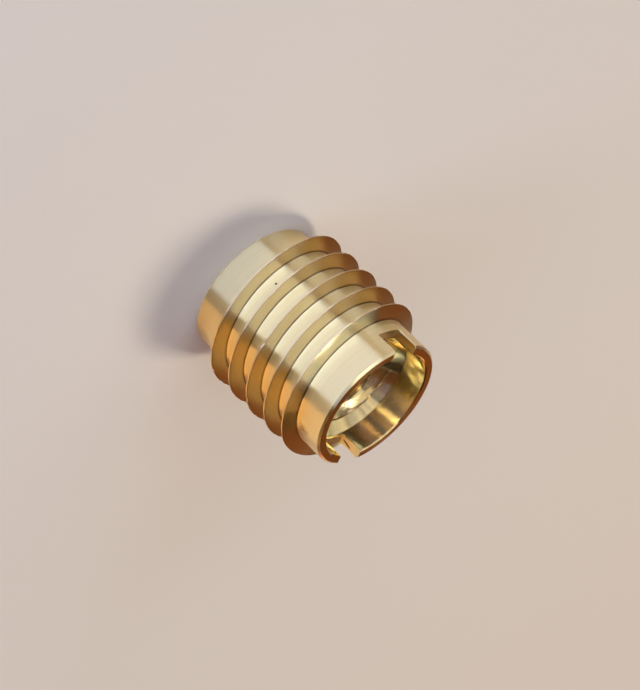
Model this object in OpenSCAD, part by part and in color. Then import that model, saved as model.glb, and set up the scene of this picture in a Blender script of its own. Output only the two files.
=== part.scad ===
// Threaded insert for wood. One bush turned from brass bar: a machine thread in the bore, a coarse
// knife thread outside, a plain pilot nose below and a recessed, slotted rim on top.
// It stands on its plain end: the axis is +Z and the origin is at the middle of that end.

/* [Body] */
// Overall length, from the plain end to the slotted rim
body_len = 16.2; // [13.4:0.1:24]
// Length of the pilot nose below the knife thread
nose_len = 1.7; // [1:0.1:2.6]
// Step in radius from the body down to the pilot nose
nose_step = 0.1; // [0:0.05:0.4]
// Plain length from the slotted rim down to the end of the knife thread
collar_len = 2.4; // [2.3:0.1:4]
// Chamfer on the outer edges of both ends
edge = 0.2; // [0.1:0.05:0.4]

/* [Machine thread] */
// Outside diameter of the screw that fits the bore
screw_d = 9.5; // [7:0.1:14]
// Pitch of the machine thread
screw_pitch = 1.59; // [1:0.01:2]

/* [Recess] */
// Width of the cone between the recess and the machine thread
cone_w = 0.7; // [0.3:0.05:1.2]
// Wall of the rim round the recess
rim_wall = 0.9; // [0.6:0.05:1.6]
// Depth of the recess below the rim
recess_depth = 2.5; // [1.5:0.1:3.2]
// Chamfer on the rim's inner edge
lip = 0.1; // [0.05:0.05:0.3]

/* [Drive slot] */
// Width of the slot for the driving blade
slot_w = 2.6; // [1.5:0.1:4]
// Depth of the slot below the rim
slot_depth = 2.3; // [1.2:0.1:2.8]

/* [Knife thread] */
// Height of the fin above the body
fin_h = 1.35; // [0.8:0.05:1.8]
// Distance along the axis from one turn to the next
fin_pitch = 2.3; // [1.6:0.05:3.2]
// Thickness of the fin where it leaves the body
fin_root = 0.8; // [0.4:0.05:1.1]
// Thickness of the fin at its crest
fin_tip = 0.12; // [0.08:0.02:0.3]
// Angle over which the fin rises from the body at each end
run_out = 72; // [36:9:180]
// Direction in which the fin starts, counted from the drive slot
start_angle = 36; // [0:9:351]

/* [Hidden] */

// Radii, from the bore outwards
screw_r = screw_d / 2;
bore_r = screw_r - screw_pitch / 2;
recess_r = screw_r + cone_w;
body_r = recess_r + rim_wall;
nose_r = body_r - nose_step;
crest_r = body_r + fin_h;

// Heights
recess_z = body_len - recess_depth;
bore_top_z = recess_z - (recess_r - bore_r);
entry_margin = 0.1;
entry = screw_r - bore_r + entry_margin;
slot_z = body_len - slot_depth;

// The fin: 40 flats to the turn, with its foot sunk into the body
fin_step = 9;
fin_sink = 0.3;
fin_foot_r = body_r - fin_sink;
fin_z0 = nose_len + fin_root / 2;
fin_z1 = body_len - collar_len;
fin_angle = 360 * (fin_z1 - fin_z0) / fin_pitch;
fin_count = floor(fin_angle / fin_step);
fin_slope = (fin_root - fin_tip) / 2 / fin_h;

brass = "#d8a850";

// Smooth rise from 0 to 1
function ease(t) = let (c = min(1, max(0, t))) c * c * (3 - 2 * c);

// How much of its full height the fin has at a step, with a run-out at each end
function fin_rise(i) = ease(min(i, fin_count - i) * fin_step / run_out);

// Radius of the crest at a step: it starts just inside the body, so both ends close within the metal
function fin_crest(i) = body_r - fin_sink / 2 + (fin_h + fin_sink / 2) * fin_rise(i);

// Half of the fin's thickness at a radius, on straight flanks
function fin_half(r) = fin_tip / 2 + fin_slope * (crest_r - r);

// A point of the fin, turned to its place along the helix
function fin_point(i, r, dz) =
    let (a = start_angle + i * fin_step)
    [r * cos(a), r * sin(a), fin_z0 + fin_pitch * i * fin_step / 360 + dz];

// The section at a step: foot below, crest below, crest above, foot above
function fin_section(i) =
    let (rise = fin_rise(i), rc = fin_crest(i), tip = fin_half(rc) * rise + fin_tip / 2 * (1 - rise))
    let (foot = max(tip, fin_half(fin_foot_r) * rise + fin_tip * (1 - rise)))
    [fin_point(i, fin_foot_r, -foot), fin_point(i, rc, -tip),
     fin_point(i, rc, tip), fin_point(i, fin_foot_r, foot)];

// The knife thread: one section after another up the helix, skinned with triangles
module knife_thread() {
    points = [for (i = [0:fin_count]) each fin_section(i)];
    sides = [for (i = [0:fin_count - 1], k = [0:3])
        let (a = 4 * i + k, b = 4 * i + (k + 1) % 4)
        each [[a, b, a + 4], [b, b + 4, a + 4]]];
    last = 4 * fin_count;
    ends = [[0, 2, 1], [0, 3, 2], [last, last + 1, last + 2], [last, last + 2, last + 3]];
    polyhedron(points, concat(sides, ends));
}

// The turned blank: nose, body, recess, cone and bore in one section
module blank() {
    rotate_extrude($fn = 96)
        polygon([
            [bore_r + entry, 0], [nose_r - edge, 0], [nose_r, edge], [nose_r, nose_len],
            [body_r, nose_len], [body_r, body_len - edge], [body_r - edge, body_len],
            [recess_r + lip, body_len], [recess_r, body_len - lip], [recess_r, recess_z],
            [bore_r, bore_top_z], [bore_r, entry]
        ]);
}

// The slot for the driving blade, right across the rim
module drive_slot() {
    clear = 1;
    translate([-body_r - clear, -slot_w / 2, slot_z])
        cube([2 * (body_r + clear), slot_w, slot_depth + clear]);
}

module insert() {
    color(brass)
        difference() {
            union() {
                blank();
                knife_thread();
            }
            drive_slot();
        }
}

insert();
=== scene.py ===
# %% [markdown]
# # A threaded insert in brass
# This insert is screwed into wood so that a machine screw can be screwed into it. It is one bush,
# turned from brass bar: a knife thread outside, a machine thread in the bore, a recess and a slot
# on top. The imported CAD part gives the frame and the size, and this script builds the visible
# surface round it.

import math

import bmesh
import bpy
import numpy as np
from mathutils import Matrix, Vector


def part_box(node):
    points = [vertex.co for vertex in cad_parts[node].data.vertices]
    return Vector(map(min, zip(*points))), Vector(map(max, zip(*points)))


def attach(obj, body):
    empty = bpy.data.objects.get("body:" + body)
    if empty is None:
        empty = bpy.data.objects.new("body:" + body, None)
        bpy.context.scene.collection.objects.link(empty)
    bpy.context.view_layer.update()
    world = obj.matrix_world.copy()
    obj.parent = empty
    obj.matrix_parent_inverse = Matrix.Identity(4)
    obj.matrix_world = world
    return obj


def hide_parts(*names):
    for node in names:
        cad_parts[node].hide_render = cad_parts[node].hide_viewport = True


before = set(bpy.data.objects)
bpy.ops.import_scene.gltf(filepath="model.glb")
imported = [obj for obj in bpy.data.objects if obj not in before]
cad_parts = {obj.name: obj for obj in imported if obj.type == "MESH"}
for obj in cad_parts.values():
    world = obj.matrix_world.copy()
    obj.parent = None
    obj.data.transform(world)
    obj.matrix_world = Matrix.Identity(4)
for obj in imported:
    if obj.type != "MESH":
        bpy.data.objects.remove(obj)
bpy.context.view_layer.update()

# %% [markdown]
# ## Sizes
# Overall sizes come from the CAD node. The rest are the maker's own: a 3/8 inch screw with 16
# threads per inch in the bore, and a knife thread with 11 turns per inch outside. Everything is in
# millimetres until the mesh is made.

# %% Name the sizes
MM = 0.001            # one millimetre in metres
TURN = 2 * math.pi
low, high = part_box("insert")
LENGTH = high.z / MM
CREST_R = (high.x - low.x) / 2 / MM

FIN_H = 1.35          # height of the knife thread above the body
FIN_PITCH = 2.3
FIN_ROOT = 0.8        # its thickness at the body
FIN_TIP = 0.12        # its thickness at the crest
BODY_R = CREST_R - FIN_H
NOSE_R = BODY_R - 0.1
NOSE_LEN = 1.7
COLLAR_LEN = 2.4
EDGE = 0.2            # chamfer on the outer edges of both ends

SCREW_R = 4.75
SCREW_PITCH = 1.59
BORE_R = SCREW_R - SCREW_PITCH / 2
RECESS_R = 5.45
RECESS_Z = LENGTH - 2.5
LIP = 0.1
SLOT_HALF = 1.3
SLOT_Z = LENGTH - 2.3
print(f"length {LENGTH:.2f} mm, crest radius {CREST_R:.2f} mm, body radius {BODY_R:.2f} mm")

# %% [markdown]
# ## Columns
# All surfaces of the bush share the same columns, so that they can be welded into one closed
# skin. The slot cuts through the rim at four corners, and a column must stand on each of them.

# %% Space the columns round the axis
SLOT_COLS = 32
LUG_COLS = 208
COLS = 2 * (SLOT_COLS + LUG_COLS)


def ring_angles(radius):
    """Angles of the columns on a ring. The slot's corners stand at asin(half slot / radius) either
    side of the X axis, and each stretch between two corners is cut into equal steps."""
    corner = math.asin(SLOT_HALF / radius)
    slot = np.linspace(-corner, corner, SLOT_COLS + 1)[:-1]
    lug = np.linspace(corner, math.pi - corner, LUG_COLS + 1)[:-1]
    return np.concatenate([slot, lug, slot + math.pi, lug + math.pi])


def around(radius, angle, z):
    """Points at a radius, an angle and a height: (r cos a, r sin a, z). The three are numbers, or
    arrays of one shape."""
    radius, angle, z = np.broadcast_arrays(radius, angle, z)
    return np.stack([radius * np.cos(angle), radius * np.sin(angle), z], axis=-1)


outer = ring_angles(BODY_R)
inner = ring_angles(RECESS_R)
print(f"{COLS} columns, {TURN * CREST_R / COLS:.3f} mm apart on the crest")

# %% [markdown]
# ## Patches
# Each surface is a grid of points: rows go along the section, columns go round the axis. The
# section runs one way through the whole bush: out along the foot, up the outside, in over the rim
# and down the bore. Then every grid faces outwards by the same rule.

# %% Collect the grids
points, quads, marks = [], [], []


def add_patch(grid, flip=False, corner=0, crest=0):
    """Adds a grid of points (rows, columns, 3). Each cell becomes the quad (i, j), (i, j + 1),
    (i + 1, j + 1), (i + 1, j), which faces out where rows go up and columns go anticlockwise. Each
    point also keeps two shares from 0 to 1: how much painted shade its colour takes (in the fin's
    inner corners and in a thin line just under each crest), and how far it lies on a crest, where a
    painted highlight goes."""
    rows, cols = grid.shape[:2]
    share = np.stack(np.broadcast_arrays(np.zeros((rows, cols)), corner, crest)[1:], axis=-1)
    marks.append(share.reshape(-1, 2))
    index = np.arange(rows * cols).reshape(rows, cols) + sum(len(p) for p in points)
    cell = np.stack([index[:-1, :-1], index[:-1, 1:], index[1:, 1:], index[1:, :-1]], axis=-1)
    points.append(grid.reshape(-1, 3))
    quads.append((cell[..., ::-1] if flip else cell).reshape(-1, 4))


def add_ring(radii, heights, angles):
    """Adds a surface of revolution: the section (radii, heights) carried once round the angles,
    which are one list, or a list for each row."""
    angles = np.atleast_2d(angles)
    closed = np.concatenate([angles, angles[:, :1] + TURN], axis=1)
    add_patch(around(np.array(radii)[:, None], closed, np.array(heights)[:, None]))


def unwrap(angles, first_turn, last_turn):
    """The same column angles, counted on without a break from the first turn to the last."""
    turns = np.arange(first_turn, last_turn)
    counted = (angles[None, :] + TURN * turns[:, None]).ravel()
    return np.append(counted, angles[0] + TURN * last_turn)


# %% [markdown]
# ## Knife thread
# The outside is a plain cylinder with one thin fin wound round it. The fin was cut, so its foot
# has the small round of the tool's nose, its crest is a narrow land, and handling has left nicks
# in the crest. The strip follows the helix, so its rows lie exactly on the fin's edges.

# %% Shape the fin along the helix
FIN_START = math.radians(36)
FIN_RUN_OUT = math.radians(72)
FIN_Z0 = NOSE_LEN + FIN_ROOT / 2
FIN_TURNS = math.floor(40 * (LENGTH - COLLAR_LEN - FIN_Z0) / FIN_PITCH) / 40
FIN_END = FIN_START + TURN * FIN_TURNS
FIN_SLOPE = (FIN_ROOT - FIN_TIP) / 2 / FIN_H
FOOT_ROUND = 0.12     # round of the tool's nose at the fin's foot
CREST_BEVEL = 0.02    # broken edge either side of the land
THIN_START = 0.3      # how much of its thickness the fin has where it starts
CLEAR_OF_FOOT = 0.07  # plain cylinder between the foot's round and the next row
FLANK_STEPS = (0.05, 0.11, 0.5, 0.92)      # rows on the flank, as shares of its height
NICKS = 60
rng = np.random.default_rng(7)


def ease(t):
    """Smooth rise from 0 to 1: 3 t squared minus 2 t cubed, held at its ends."""
    t = np.clip(t, 0, 1)
    return t * t * (3 - 2 * t)


def nick_depth(phi):
    """Depth of the nicks along the crest: a sum of narrow bells, each with its own place, depth
    and width."""
    middle = rng.uniform(FIN_START, FIN_END, NICKS)
    depth = rng.uniform(0.015, 0.1, NICKS)
    width = rng.uniform(0.012, 0.03, NICKS)
    return (depth * np.exp(-((phi[:, None] - middle) / width) ** 2)).sum(axis=1)


def fin_side(phi):
    """Heights and axial offsets of the rows on the fin's upper side, from the crest to half a
    pitch. The flank is a straight line from the land down to the foot, a round of the tool's nose
    is tangent to it and to the body, and the rest is the plain cylinder between two turns."""
    rise = ease(np.minimum(phi - FIN_START, FIN_END - phi) / FIN_RUN_OUT)
    cap = np.maximum(FIN_H * rise - nick_depth(phi) * rise, 0)
    width = THIN_START + (1 - THIN_START) * rise
    slope = width * FIN_SLOPE
    land = width * FIN_TIP / 2 + slope * (FIN_H - cap)
    foot = width * FIN_ROOT / 2
    bevel = np.minimum(CREST_BEVEL, cap / 2)
    norm = np.sqrt(1 + slope ** 2)
    nv, nh = 1 / norm, slope / norm
    tool = np.minimum(FOOT_ROUND, cap / 2)
    centre = foot + tool * (1 - nh) / nv
    start = math.pi + np.arctan2(nh, nv)
    rows = [(cap, land - bevel), (cap - bevel, land + slope * bevel)]
    top_h, top_v = rows[1]
    end_h, end_v = tool * (1 - nh), centre - tool * nv
    rows += [(top_h + (end_h - top_h) * t, top_v + (end_v - top_v) * t) for t in FLANK_STEPS]
    for t in (0, 1 / 3, 2 / 3, 1):
        angle = start + (1.5 * math.pi - start) * t
        rows.append((tool + tool * np.sin(angle), centre + tool * np.cos(angle)))
    rows += [(0 * cap, centre + CLEAR_OF_FOOT), (0 * cap, FIN_PITCH / 2 + 0 * cap)]
    return np.array([h for h, v in rows]), np.array([v for h, v in rows])


# For each row of a side, from the crest down: its share of painted shade, in the foot's round and
# in a thin line just under the crest, and how far it lies on the crest, where a painted highlight
# goes.
SIDE_PAINTED_SHADE = np.array([0, 0, 0.3, 0, 0, 0, 0.5, 1, 1, 0.7, 0, 0])
SIDE_CREST = np.array([1, 0.8, 0, 0, 0, 0, 0, 0, 0, 0, 0, 0])


# The strip starts a turn below the fin and ends above it, and is cut off level at both ends.
phi = unwrap(outer, -1, 6)
side_h, side_v = fin_side(phi)
fin_h = np.concatenate([side_h[::-1], side_h])
fin_v = np.concatenate([-side_v[::-1], side_v])
fin_z = np.clip(FIN_Z0 + FIN_PITCH * (phi - FIN_START) / TURN + fin_v, NOSE_LEN, SLOT_Z)
# Painted shade in the fin's corners and in a thin line just under its crest.
fin_shade_paint = np.concatenate([SIDE_PAINTED_SHADE[::-1], SIDE_PAINTED_SHADE])[:, None] * (fin_h > 0)
fin_crest = np.concatenate([SIDE_CREST[::-1], SIDE_CREST])[:, None] * ease(fin_h * 4)
add_patch(around(BODY_R + fin_h, phi, fin_z), False, fin_shade_paint, fin_crest)
print(f"{FIN_TURNS:.2f} turns of fin, {len(fin_h)} rows to the turn")

# %% [markdown]
# ## Foot
# The insert stands on its plain end. The end was faced off and its outer edge broken with a small
# chamfer, and the nose is turned a hair smaller than the body, so that it finds the hole.

# %% Turn the foot and the nose
ENTRY_R = SCREW_R + 0.1
add_ring([ENTRY_R, NOSE_R - EDGE], [0, 0], np.array([inner, outer]))
add_ring([NOSE_R - EDGE, NOSE_R, NOSE_R, BODY_R], [0, EDGE, NOSE_LEN, NOSE_LEN], outer)
print(f"foot ring from {ENTRY_R:.2f} to {NOSE_R - EDGE:.2f} mm in radius, nose {NOSE_LEN} mm long")

# %% [markdown]
# ## Rim
# The slot leaves two lugs of the rim. Each lug is the rim's section carried round from one face of
# the slot to the other. The end faces are flat, so the section's end column bends with its radius,
# and a narrow bevel runs round each end face, as a file leaves it.

# %% Carry the rim's section round one lug
LUG_BEVEL = 0.05      # width of the bevel round a lug's end face
BEVEL_RUN_IN = 0.12   # height over which the bevel grows from the slot's floor
wall_z = [SLOT_Z + up for up in (0, 0.05, BEVEL_RUN_IN, 0.6, 1.3)]
section_r = [BODY_R] * 6 + [BODY_R - EDGE, RECESS_R + LIP] + [RECESS_R] * 6
section_z = wall_z + [LENGTH - EDGE] + [LENGTH, LENGTH] + [LENGTH - LIP] + wall_z[::-1]
# Which way the bevel draws each point of the section in: along the radius, and along the height.
section_nr = [-1] * 5 + [-0.7, -0.3, 0.3, 0.7] + [1] * 5
section_nz = [0] * 5 + [-0.3, -1, -1, -0.3] + [0] * 5
section_r, section_z = np.array(section_r)[:, None], np.array(section_z)[:, None]
bevel = LUG_BEVEL * ease((section_z - SLOT_Z) / BEVEL_RUN_IN)


def lug():
    """One lug as a grid: columns evenly from y = half slot + bevel to its mirror image, and one
    more column at each end, on the slot's face, with the section drawn in by the bevel."""
    corner = np.arcsin((SLOT_HALF + bevel) / section_r)
    share = np.linspace(0, 1, LUG_COLS + 1)[None, :]
    middle = around(section_r, corner + (math.pi - 2 * corner) * share, section_z)
    end_r = section_r + bevel * np.array(section_nr)[:, None]
    end_z = section_z + bevel * np.array(section_nz)[:, None]
    end_angle = np.arcsin(SLOT_HALF / end_r)
    first = around(end_r, end_angle, end_z)
    last = around(end_r, math.pi - end_angle, end_z)
    return np.concatenate([first, middle, last], axis=1)


def end_face(column):
    """The flat face that closes a lug, as a ladder: the section's outer half against its inner
    half."""
    half = len(column) // 2
    return np.stack([column[:half], column[:half - 1:-1]], axis=1)


upper = lug()
slot_angle = np.array([outer[:SLOT_COLS + 1], inner[:SLOT_COLS + 1]])
slot_floor = around(np.array([[BODY_R], [RECESS_R]]), slot_angle, SLOT_Z)
for side in ([1, 1, 1], [-1, -1, 1]):
    side = np.array(side)
    add_patch(upper * side)
    add_patch(end_face(upper[:, 0]) * side, flip=True)
    add_patch(end_face(upper[:, -1]) * side)
    add_patch(slot_floor * side)
print(f"two lugs {LENGTH - SLOT_Z:.1f} mm high, {2 * SLOT_HALF:.1f} mm apart across the slot")

# %% [markdown]
# ## Recess and machine thread
# A 45 degree cone leads from the recess into the thread. The thread's 60 degree grooves run out
# into the cone, so between the two the surface is whichever of them is further from the axis.

# %% Cut the recess, the cone and the thread
THREAD_PHASE = 0.46   # where the thread starts, in pitches
CREST_FLAT = 1 / 8    # half of the flat on the thread's crest, in pitches
ROOT_FLAT = 1 / 16    # half of the flat in its groove
FINE_STEP = 0.04      # height of a row where the thread runs out
ENTRY_ROWS = 10       # rows on the countersink


def thread_radius(angle, z):
    """Radius of the machine thread: the crest's at the start of each pitch, the groove's at its
    middle, and a straight flank between the two flats."""
    pitches = z / SCREW_PITCH - angle / TURN - THREAD_PHASE
    from_crest = np.abs((pitches + 0.5) % 1 - 0.5)
    share = np.clip((from_crest - CREST_FLAT) / (0.5 - ROOT_FLAT - CREST_FLAT), 0, 1)
    return BORE_R + (SCREW_R - BORE_R) * share


def cone_radius(z):
    """Radius of the cones: 45 degrees in from the recess above, and from the countersink below."""
    return np.maximum(RECESS_R - (RECESS_Z - z), ENTRY_R - z)


def bore_rows(heights):
    """Rows at fixed heights, on the thread or on a cone, whichever is wider. Where a column passes
    from one to the other, its nearest point moves to the place where their radii are equal, so the
    edge between them runs clean."""
    angle = np.append(inner, inner[0] + TURN)[None, :]
    z = np.array(heights)[:, None] + 0 * angle
    gap = thread_radius(angle, z) - cone_radius(z)
    crossing = gap[:-1] * gap[1:] < 0
    share = gap[:-1] / np.where(crossing, gap[:-1] - gap[1:], 1)
    meet = z[:-1] + (z[1:] - z[:-1]) * share
    near, far = crossing & (share < 0.5), crossing & (share >= 0.5)
    near[0], far[-1] = False, False
    z[:-1][near], z[1:][far] = meet[near], meet[far]
    add_patch(around(np.maximum(thread_radius(angle, z), cone_radius(z)), angle, z))


cone_z = RECESS_Z - (RECESS_R - SCREW_R)
thread_top = RECESS_Z - (RECESS_R - BORE_R)
thread_low = ENTRY_R - BORE_R
add_ring([RECESS_R, RECESS_R], [SLOT_Z, RECESS_Z], inner)
add_ring([RECESS_R, SCREW_R], [RECESS_Z, cone_z], inner)
bore_rows(np.linspace(cone_z, thread_top, round((cone_z - thread_top) / FINE_STEP) + 1))
bore_rows(np.linspace(thread_low, 0, ENTRY_ROWS))

# Rows of one pitch of the thread: both edges of each flat, and the middle of each flank.
phi = unwrap(inner, -1, 9)[None, :]
pitch_rows = np.array([
    -CREST_FLAT, CREST_FLAT, 0.28, 0.5 - ROOT_FLAT, 0.5 + ROOT_FLAT, 0.72, 1 - CREST_FLAT,
])[:, None]
thread_z = np.clip(SCREW_PITCH * (phi / TURN + THREAD_PHASE + pitch_rows), thread_low, thread_top)
add_patch(around(thread_radius(phi, thread_z), phi, thread_z), flip=True)
print(f"thread from z = {thread_low:.2f} to {thread_top:.2f} mm, {2 * BORE_R:.2f} mm across")

# %% [markdown]
# ## One skin
# The patches share their border points, so welding them closes the skin. Edges sharper than the
# round of the tool's nose are kept crisp, and the rest is shaded smooth.

# %% Weld the patches into one mesh
WELD = 0.002 * MM
CRISP = math.radians(28)
mesh = bpy.data.meshes.new("brass bush")
corners = np.concatenate(quads)
mesh.vertices.add(sum(len(p) for p in points))
mesh.vertices.foreach_set("co", (np.concatenate(points) * MM).astype(np.float32).ravel())
mesh.loops.add(corners.size)
mesh.loops.foreach_set("vertex_index", corners.astype(np.int32).ravel())
mesh.polygons.add(len(corners))
mesh.polygons.foreach_set("loop_start", np.arange(0, corners.size, 4, dtype=np.int32))
mesh.update(calc_edges=True)
# The corner attribute carries the share of painted shade, and the crest attribute the share of the
# painted highlight.
for i, name in enumerate(("corner", "crest")):
    share = mesh.attributes.new(name, "FLOAT", "POINT")
    share.data.foreach_set("value", np.concatenate(marks)[:, i].astype(np.float32))

skin = bmesh.new()
skin.from_mesh(mesh)
bmesh.ops.remove_doubles(skin, verts=skin.verts, dist=WELD)
open_edges = sum(1 for e in skin.edges if len(e.link_faces) != 2)
volume = skin.calc_volume(signed=True) / MM ** 3
skin.to_mesh(mesh)
skin.free()
mesh.shade_smooth()
mesh.set_sharp_from_angle(angle=CRISP)
insert = bpy.data.objects.new("brass_insert", mesh)
bpy.context.scene.collection.objects.link(insert)
mesh.calc_loop_triangles()
print(f"{len(mesh.loop_triangles)} triangles, {open_edges} open edges, {volume:.1f} mm3")

# %% [markdown]
# ## Nodes
# A material is a small graph of nodes. One helper adds a node with its settings and links and
# hands back one of its outputs, so a finish reads from top to bottom like a recipe. Four shorter
# ones call it for the nodes that come back most often.

# %% Add nodes with one helper


def srgb(code):
    """Turns an sRGB hex colour into a linear one: below 0.04045 divide by 12.92, above it the power
    of 2.4."""
    value = [int(code[i:i + 2], 16) / 255 for i in (1, 3, 5)]
    return [v / 12.92 if v <= 0.04045 else ((v + 0.055) / 1.055) ** 2.4 for v in value] + [1]


def add_node(kind, inputs=None, out=0, **settings):
    """Adds a node to the tree and returns one of its outputs. Settings are the node's properties;
    an input is a value or another node's output."""
    node = tree.nodes.new("ShaderNode" + kind)
    for name, value in settings.items():
        setattr(node, name, value)
    for name, value in (inputs or {}).items():
        if isinstance(value, bpy.types.NodeSocket):
            tree.links.new(value, node.inputs[name])
        else:
            node.inputs[name].default_value = value
    return node.outputs[out] if len(node.outputs) else None


def calc(operation, *values):
    """One step of arithmetic on two or three values or outputs."""
    return add_node("Math", dict(enumerate(values)), operation=operation)


def vector_calc(operation, *values, out=0):
    """One step of arithmetic on vectors."""
    return add_node("VectorMath", dict(enumerate(values)), out, operation=operation)


def smooth(value, start, end, low=0, high=1):
    """Goes from low to high along an S-shaped curve, as the value goes from start to end."""
    return add_node("MapRange", {
        "Value": value, "From Min": start, "From Max": end, "To Min": low, "To Max": high,
    }, interpolation_type="SMOOTHSTEP")


def stain(under, code, share):
    """The colour under, mixed with an sRGB hex colour by its share."""
    return add_node("Mix", {0: share, 6: under, 7: srgb(code)}, out=2, data_type="RGBA")


def new_tree(owner):
    """The empty node tree of a material or a world."""
    owner.use_nodes = True
    owner.node_tree.nodes.clear()
    return owner.node_tree


# %% [markdown]
# ## Turning marks
# The real bush is free-cutting brass, bright from the lathe. The tool leaves a fine groove for each
# turn of the work. A bitmap could show them, but it would have a seam and a limit. Here noise is
# drawn out round the axis instead: it reads a point of a unit circle, the height and the radius, so
# it closes on itself and also makes rings on the flat faces.

# %% Draw noise out round the axis
brass = bpy.data.materials.new("turned brass")
tree = new_tree(brass)
place = add_node("TexCoord", out="Object")
tangent = add_node("Tangent", direction_type="RADIAL", axis="Z")
level_place = vector_calc("MULTIPLY", place, (1, 1, 0))
outwards = vector_calc("NORMALIZE", level_place)
radius = vector_calc("LENGTH", level_place, out="Value")
height = add_node("SeparateXYZ", {"Vector": place}, out="Z")


def grain(round_step, across_step, detail=2):
    """Noise that changes within round_step along a mark of the tool, and within across_step from
    one mark to the next, both in millimetres."""
    per_metre = 1 / (across_step * MM)
    along = add_node("VectorMath", {0: outwards, "Scale": BODY_R / round_step}, operation="SCALE")
    rise = vector_calc("MULTIPLY", place, (0, 0, per_metre))
    return add_node("TexNoise", {
        "Vector": vector_calc("ADD", along, rise), "W": calc("MULTIPLY", radius, per_metre),
        "Scale": 1, "Detail": detail,
    }, noise_dimensions="4D")


# The feed is about 0.05 mm to the turn, too fine to show, so the marks are drawn 0.1 mm apart.
tool_marks = grain(16, 0.1)
waviness = grain(5, 0.5)
chatter = grain(0.35, 2.5)
print("tool marks 0.1 mm apart, waves of 0.5 mm, chatter every 0.35 mm round the axis")

# %% [markdown]
# ## Waves and chatter
# A slender tool also swings a little from side to side as it cuts. The surface then leans a degree
# or two one way and the other round the axis, which frays the edges of the reflections. The normal
# is leaned along the tangent for that, and the tool marks are a faint bump on top.

# %% Lean the normal
WAVE_LEAN = 0.03
CHATTER_LEAN = 0.02
chatter_lean = calc("MULTIPLY_ADD", chatter, CHATTER_LEAN, -(WAVE_LEAN + CHATTER_LEAN) / 2)
lean = calc("MULTIPLY_ADD", waviness, WAVE_LEAN, chatter_lean)
sway = add_node("VectorMath", {0: tangent, "Scale": lean}, operation="SCALE")
swayed = vector_calc("ADD", add_node("NewGeometry", out="Normal"), sway)
marked = add_node("Bump", {
    "Height": tool_marks, "Distance": 0.02 * MM, "Strength": 0.06,
    "Normal": vector_calc("NORMALIZE", swayed),
})
print(f"the surface leans by up to {math.degrees((WAVE_LEAN + CHATTER_LEAN) / 2):.1f} degrees")

# %% [markdown]
# ## Colour
# Brass of this kind is a pale yellow, a shade deeper between the marks. Brown painted shade darkens
# the fin's inner corners and a thin line just under each crest, and each crest is painted paler as
# a highlight.

# %% Colour the brass
painted_shade = add_node("Attribute", attribute_name="corner", out="Fac")
painted_crest_highlight = add_node("Attribute", attribute_name="crest", out="Fac")
colour = stain(srgb("#f2d99d"), "#f6e0a8", smooth(tool_marks, 0.3, 0.7))
# Painted shade: brown in the fin's inner corners and in a thin line under each crest.
colour = stain(colour, "#6e4c26", calc("MULTIPLY", painted_shade, 0.85))
# Painted highlight: each crest is made paler. The same share also makes the crest rougher below.
colour = stain(colour, "#ffdba6", calc("MULTIPLY", painted_crest_highlight, 0.8))
print("brass in two shades, brown in the roots and bright on the crests")

# %% [markdown]
# ## Wear
# The bush has been handled: there is a small patch of tarnish on its collar, a few pits where chips
# struck it, and a scratch on the end of one lug. Each is a soft spot at its own place on the skin,
# and the tarnish is broken up into short strokes.

# %% Add the patch of tarnish, the pits and the scratch
PITS = [              # direction round the axis in degrees, height, radius, size
    (-138.2, 4.58, BODY_R, 0.13),
    (-98, 13, CREST_R - 0.5, 0.07),
    (-150, 15.1, BODY_R, 0.05),
]
PIT_EDGE = 0.06


def spot(side, up, out, size, soft):
    """A round spot on the skin, 1 in its middle and 0 at its edge. side is its direction round the
    axis in degrees, up and out are its height and radius. size is the spot's own radius, and soft
    the width of its edge."""
    turn = math.radians(side)
    centre = (out * MM * math.cos(turn), out * MM * math.sin(turn), up * MM)
    away = vector_calc("DISTANCE", place, centre, out="Value")
    return smooth(away, (size - soft) * MM, size * MM, 1, 0)


patches = smooth(grain(0.25, 0.7), 0.3, 0.65, 0, 0.7)
tarnish = calc("MULTIPLY", spot(-62.5, 14.2, BODY_R, 0.8, 0.6), patches)
colour = stain(colour, "#7b5327", tarnish)
# The scratch is a long thin spot, leaning a little: 1.3 mm along the slot's wall, 0.2 mm wide.
along_scratch = add_node("Mapping", {
    "Vector": place, "Location": (5.85 * MM, SLOT_HALF * MM, 14.65 * MM),
    "Rotation": (0, 0.2, 0), "Scale": (0.11 * MM, 0.3 * MM, 0.65 * MM),
}, vector_type="TEXTURE")
scratch = smooth(vector_calc("LENGTH", along_scratch, out="Value"), 0.55, 1, 0.9, 0)
for mark in [scratch] + [spot(*pit, PIT_EDGE) for pit in PITS]:
    colour = stain(colour, "#33261a", mark)
print(f"one patch of tarnish, one scratch and {len(PITS)} pits")

# %% [markdown]
# ## Finish
# The grooves spread a lamp's reflection along the axis and keep it narrow round it, so the shader
# is fully anisotropic, with its tangent round the axis and turned a quarter. The outside is
# rougher than the bored inside, and the rim was faced off with a fine cut.

# %% Finish the brass
ROUGH_OUTSIDE, ROUGH_RECESS, ROUGH_BORE = 0.29, 0.15, 0.21
FACED = 0.33          # the rim's roughness as a share of the outside's
CREST_ROUGHER = 0.2   # added on each crest
inside = smooth(radius, (RECESS_R - 0.1) * MM, (RECESS_R - 0.01) * MM, ROUGH_BORE, ROUGH_RECESS)
turned = smooth(radius, (RECESS_R + 0.05) * MM, (RECESS_R + 0.15) * MM, inside, ROUGH_OUTSIDE)
on_rim = calc("GREATER_THAN", height, (LENGTH - 0.02) * MM)
finish = calc("MULTIPLY", turned, calc("MULTIPLY_ADD", on_rim, FACED - 1, 1))
shader = add_node("BsdfPrincipled", {
    "Base Color": colour,
    "Metallic": 1,
    "Roughness": calc("MULTIPLY_ADD", painted_crest_highlight, CREST_ROUGHER, finish),
    "Normal": marked,
    "Anisotropic": 1,
    "Anisotropic Rotation": 0.25,
    "Tangent": tangent,
})
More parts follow.
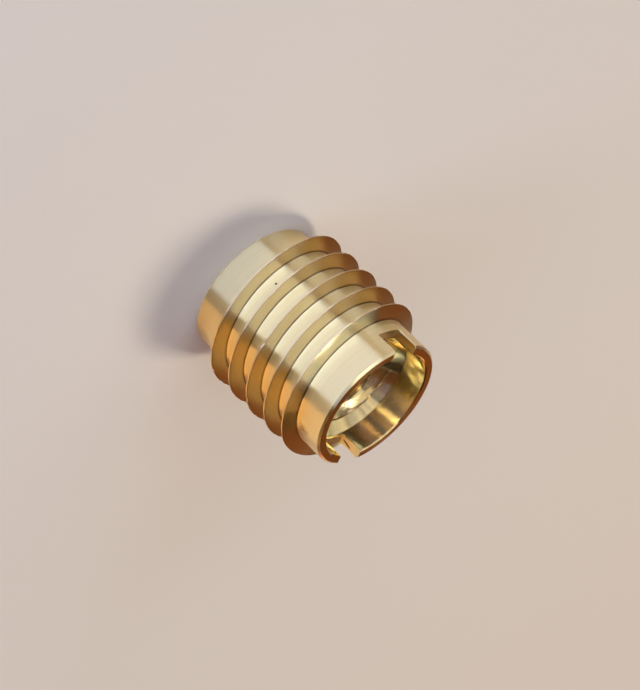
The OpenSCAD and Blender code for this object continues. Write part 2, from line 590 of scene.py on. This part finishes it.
add_node("OutputMaterial", {"Surface": shader})
mesh.materials.append(brass)
print(f"{len(tree.nodes)} nodes in the brass")

# %% [markdown]
# ## Camera
# A long lens keeps the turns of the fin nearly parallel. It looks down a little, into the recess,
# and is rolled so that the bush lies across the frame.

# %% Camera
CAMERA_SIDE = math.radians(-124.67)
CAMERA_RISE = math.radians(25.777)
CAMERA_ROLL = math.radians(134.113)
CAMERA_REACH = 351.22
AIM = np.array([0.127, 0.847, 8.1])

back = np.array([
    math.cos(CAMERA_RISE) * math.cos(CAMERA_SIDE),
    math.cos(CAMERA_RISE) * math.sin(CAMERA_SIDE),
    math.sin(CAMERA_RISE),
])
level = np.array([-math.sin(CAMERA_SIDE), math.cos(CAMERA_SIDE), 0])
upright = np.cross(back, level)
camera_x = math.cos(CAMERA_ROLL) * level + math.sin(CAMERA_ROLL) * upright


def stand(thing, x, z, spot_mm):
    """Stands a camera or a lamp at a place in millimetres, with its own X and Z axes given."""
    matrix = np.eye(4)
    matrix[:3, 0], matrix[:3, 1], matrix[:3, 2], matrix[:3, 3] = x, np.cross(z, x), z, spot_mm * MM
    thing.matrix_world = Matrix(matrix)
    bpy.context.scene.collection.objects.link(thing)


lens = bpy.data.cameras.new("camera")
lens.lens = 216.7
lens.sensor_width = 36
lens.sensor_fit = "AUTO"
lens.clip_start = 0.01
camera = bpy.data.objects.new("camera", lens)
stand(camera, camera_x, back, AIM + CAMERA_REACH * back)
bpy.context.scene.camera = camera
print(f"camera {CAMERA_REACH:.0f} mm from the bush, {math.degrees(CAMERA_RISE):.0f} degrees up")

# %% [markdown]
# ## Floor
# The floor is a sheet of plain pale paper. Lamps light it only near the bush, so further out it
# fades into one flat pale tone, which the horizon has too. The tone is shown only to the camera and
# to reflections, and so it lights nothing.

# %% Lay the floor
BACKDROP = "#d3c6bb"
FLOOR_REACH = 1.5     # metres, and so are the distances between which the floor fades
FADE_START, FADE_END = 0.13, 0.3
paper = bpy.data.materials.new("pale paper")
tree = new_tree(paper)
away = vector_calc("LENGTH", add_node("TexCoord", out="Object"), out="Value")
seen = 0
for ray in ("Is Camera Ray", "Is Glossy Ray", "Is Transmission Ray"):
    seen = calc("MAXIMUM", add_node("LightPath", out=ray), seen)
add_node("OutputMaterial", {"Surface": add_node("MixShader", {
    0: calc("MULTIPLY", smooth(away, FADE_START, FADE_END), seen),
    1: add_node("BsdfPrincipled", {
        "Base Color": srgb("#d9c6aa"), "Roughness": 0.8, "Specular IOR Level": 0,
    }),
    2: add_node("Emission", {"Color": srgb(BACKDROP), "Strength": 1}),
})})
corner = [(x * FLOOR_REACH, y * FLOOR_REACH, 0) for x, y in ((-1, -1), (1, -1), (1, 1), (-1, 1))]
floor_mesh = bpy.data.meshes.new("floor")
floor_mesh.from_pydata(corner, [], [(0, 1, 2, 3)])
floor_mesh.materials.append(paper)
floor = bpy.data.objects.new("floor", floor_mesh)
bpy.context.scene.collection.objects.link(floor)
print(f"floor {2 * FLOOR_REACH:.0f} m across, in its flat tone from {FADE_END} m out")

# %% [markdown]
# ## Lamps
# Metal shows what stands round it, so the lamps are set out as a room would be: a tall window in
# front, a warm lamp to its side with a dark gap between, a pale ceiling over the left, and dim warm
# walls behind. One small key lamp gives most of the light on the floor, and the shadow. The camera
# itself sees none of the lamps.

# %% Place the lamps
REACH = 600           # distance of every lamp, mm
PANEL = 25            # a row of lamps has one for about so many degrees


def soft_lamp(name, side, rise, width, height, radiance, colour):
    """A soft rectangular lamp that looks at the bush. side is its direction counted from the
    camera's and rise its elevation, in degrees. Its power is radiance x pi x area."""
    data = bpy.data.lights.new(name, "AREA")
    data.shape = "RECTANGLE"
    data.size, data.size_y = width * MM, height * MM
    data.energy = radiance * math.pi * data.size * data.size_y
    data.color = srgb(colour)[:3]
    lamp = bpy.data.objects.new(name, data)
    a, e = CAMERA_SIDE + math.radians(side), math.radians(rise)
    z = np.array([math.cos(e) * math.cos(a), math.cos(e) * math.sin(a), math.sin(e)])
    stand(lamp, np.array([-math.sin(a), math.cos(a), 0]), z, z * REACH)
    lamp.visible_camera = False


def lamp_row(name, start, end, base, top, radiance, colour):
    """A row of lamps from one side to the other, between two elevations. A lamp's width is twice
    the reach x tan(half its angle) x cos(its elevation)."""
    count = max(1, round((end - start) / PANEL))
    step = (end - start) / count
    middle = (base + top) / 2
    width = 2 * REACH * math.tan(math.radians(step / 2)) * math.cos(math.radians(middle))
    height = 2 * REACH * math.tan(math.radians((top - base) / 2))
    for i in range(count):
        side = start + step * (i + 0.5)
        soft_lamp(f"{name}_{i + 1}", side, middle, width, height, radiance, colour)


DAYLIGHT = "#a6c2ff"
LAMPLIGHT = "#ffc576"
EMBER = "#ff954b"
PALE = "#f0f6ff"
WARM = "#fff6e8"
lamp_row("window", -58, 45, 8, 30, 8.2, DAYLIGHT)
lamp_row("window_low", -58, 45, 0.5, 8, 2.4, DAYLIGHT)
lamp_row("window_far", -97, -67, 0.5, 30, 1.8, DAYLIGHT)
lamp_row("high_left", -120, -75, 32, 58, 0.75, WARM)
lamp_row("high", -75, -35, 45, 70, 0.75, WARM)
lamp_row("ceiling", -35, 8, 54, 76, 0.8, WARM)
lamp_row("lamp_side", 66, 120, 0.5, 10, 5.4, LAMPLIGHT)
lamp_row("ember_high", 20, 95, 42, 66, 0.12, EMBER)
lamp_row("ember_left", -180, -130, 12, 40, 0.17, EMBER)
lamp_row("ember_back", 140, 180, 12, 40, 0.15, EMBER)
lamp_row("ember_right", 120, 165, 0.5, 10, 1, EMBER)
lamp_row("back_left", -180, -120, 45, 70, 0.4, PALE)
lamp_row("back", 130, 195, 52, 76, 0.8, "#ffcf94")
soft_lamp("key", -162, 65, 100, 210, 28, PALE)
soft_lamp("overhead", 0, 90, 280, 280, 0.8, WARM)
print(f"{len(bpy.data.lights)} lamps, {REACH} mm away")

# %% [markdown]
# ## Horizon
# The world is nearly dark, so that the lamps alone shape the reflections. Only its lowest few
# degrees are pale, in the tone of the far floor.

# %% Set the world
world = bpy.data.worlds.new("studio")
bpy.context.scene.world = world
tree = new_tree(world)
upwards = add_node("SeparateXYZ", {"Vector": add_node("TexCoord", out="Generated")}, out="Z")
pale = smooth(upwards, 0.05, 0.09, 1, 0.02)
add_node("OutputWorld", {
    "Surface": add_node("Background", {"Color": srgb(BACKDROP), "Strength": pale}),
})
bpy.context.scene.view_settings.view_transform = "Standard"
print("world pale up to 3 degrees, and nearly dark from 5 degrees")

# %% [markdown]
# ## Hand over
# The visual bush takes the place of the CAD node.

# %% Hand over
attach(insert, "root")
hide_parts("insert")
